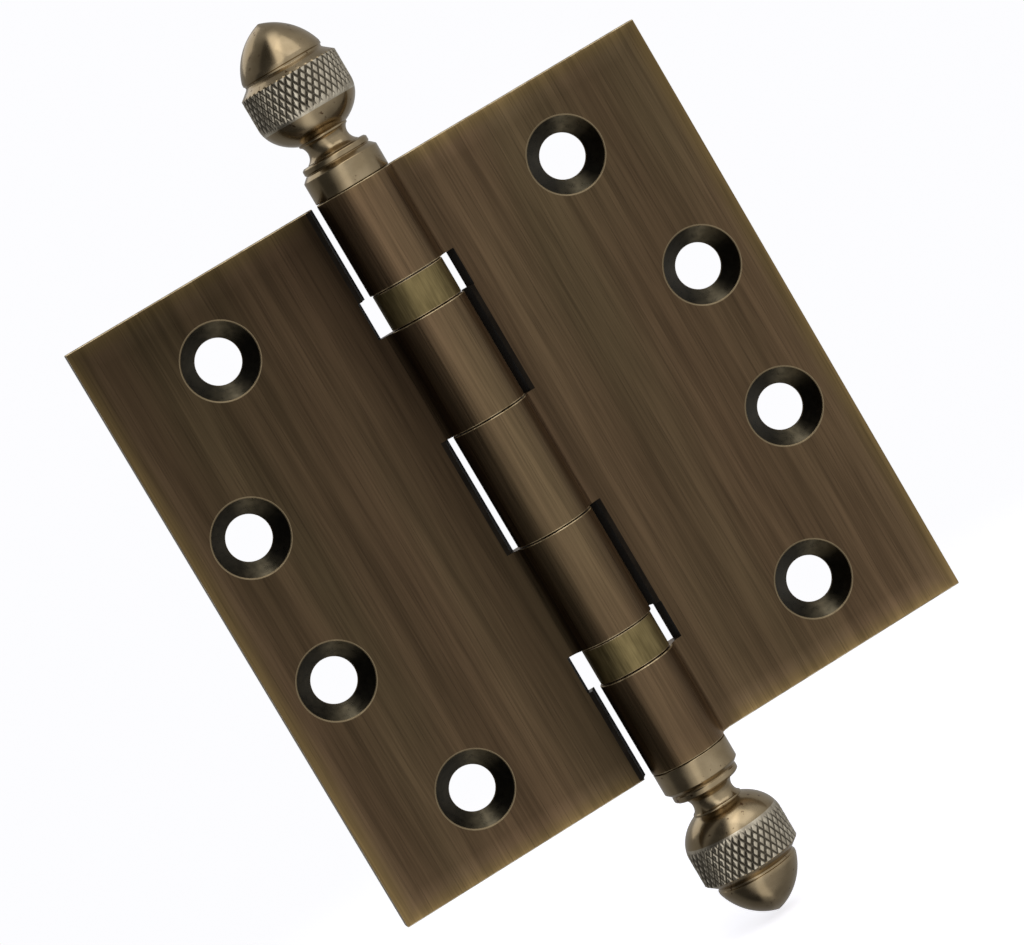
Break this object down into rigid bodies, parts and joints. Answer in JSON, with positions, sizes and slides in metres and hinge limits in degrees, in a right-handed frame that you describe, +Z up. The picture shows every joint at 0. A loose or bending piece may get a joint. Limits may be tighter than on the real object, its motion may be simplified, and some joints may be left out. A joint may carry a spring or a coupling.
{
  "type": "ball bearing door hinge",
  "caption": "Ball-bearing butt hinge in antique brass, laid open flat, with interlocking knuckles, countersunk screw holes and knurled acorn finials on the pin.",
  "frame": {"origin": "on the pin axis, at the middle of the hinge's height", "axes": "+Z up along the pin axis, +X across the jamb leaf away from the pin, +Y from the countersunk faces to the back faces that lie in the mortises"},
  "size_m": [0.1142, 0.0184, 0.1778],
  "materials": {
    "leaf_brass": "antique brass, brushed along the pin, dark brown",
    "finial_brass": "antique brass, polished over a darkened knurl",
    "bearing_brass": "satin yellow brass",
    "pin_steel": "ground steel",
    "race_steel": "hardened and ground steel",
    "ball_steel": "polished hardened steel"
  },
  "bodies": {
    "jamb": {"jamb_leaf": "leaf_brass", "upper_bearing_top_race": "race_steel", "lower_bearing_bottom_race": "race_steel", "lower_bearing_casing": "bearing_brass"},
    "door": {"door_leaf": "leaf_brass", "upper_bearing_bottom_race": "race_steel", "upper_bearing_casing": "bearing_brass", "lower_bearing_top_race": "race_steel"},
    "pin": {"hinge_pin": "pin_steel", "top_finial": "finial_brass", "bottom_finial": "finial_brass"},
    "upper_balls": {"upper_ball_01": "ball_steel", "upper_ball_02": "ball_steel", "upper_ball_03": "ball_steel", "upper_ball_04": "ball_steel", "upper_ball_05": "ball_steel", "upper_ball_06": "ball_steel", "upper_ball_07": "ball_steel", "upper_ball_08": "ball_steel", "upper_ball_09": "ball_steel", "upper_ball_10": "ball_steel", "upper_ball_11": "ball_steel", "upper_ball_12": "ball_steel", "upper_ball_13": "ball_steel"},
    "lower_balls": {"lower_ball_01": "ball_steel", "lower_ball_02": "ball_steel", "lower_ball_03": "ball_steel", "lower_ball_04": "ball_steel", "lower_ball_05": "ball_steel", "lower_ball_06": "ball_steel", "lower_ball_07": "ball_steel", "lower_ball_08": "ball_steel", "lower_ball_09": "ball_steel", "lower_ball_10": "ball_steel", "lower_ball_11": "ball_steel", "lower_ball_12": "ball_steel", "lower_ball_13": "ball_steel"}
  },
  "joints": [
    {"name": "door_swing", "type": "hinge", "parent": "jamb", "child": "door", "pos_m": [0, 0, 0], "axis": [0, 0, 1], "range_deg": [-90, 180]},
    {"name": "pin_turn", "type": "hinge", "parent": "jamb", "child": "pin", "pos_m": [0, 0, 0], "axis": [0, 0, 1], "continuous": true},
    {"name": "upper_balls_roll", "type": "hinge", "parent": "jamb", "child": "upper_balls", "pos_m": [0, 0, 0], "axis": [0, 0, 1], "range_deg": [-45, 90]},
    {"name": "lower_balls_roll", "type": "hinge", "parent": "jamb", "child": "lower_balls", "pos_m": [0, 0, 0], "axis": [0, 0, 1], "range_deg": [-45, 90]}
  ],
  "couplings": [
    {"joint": "upper_balls_roll", "follows": "door_swing", "ratio": 0.5},
    {"joint": "lower_balls_roll", "follows": "door_swing", "ratio": 0.5}
  ]
}
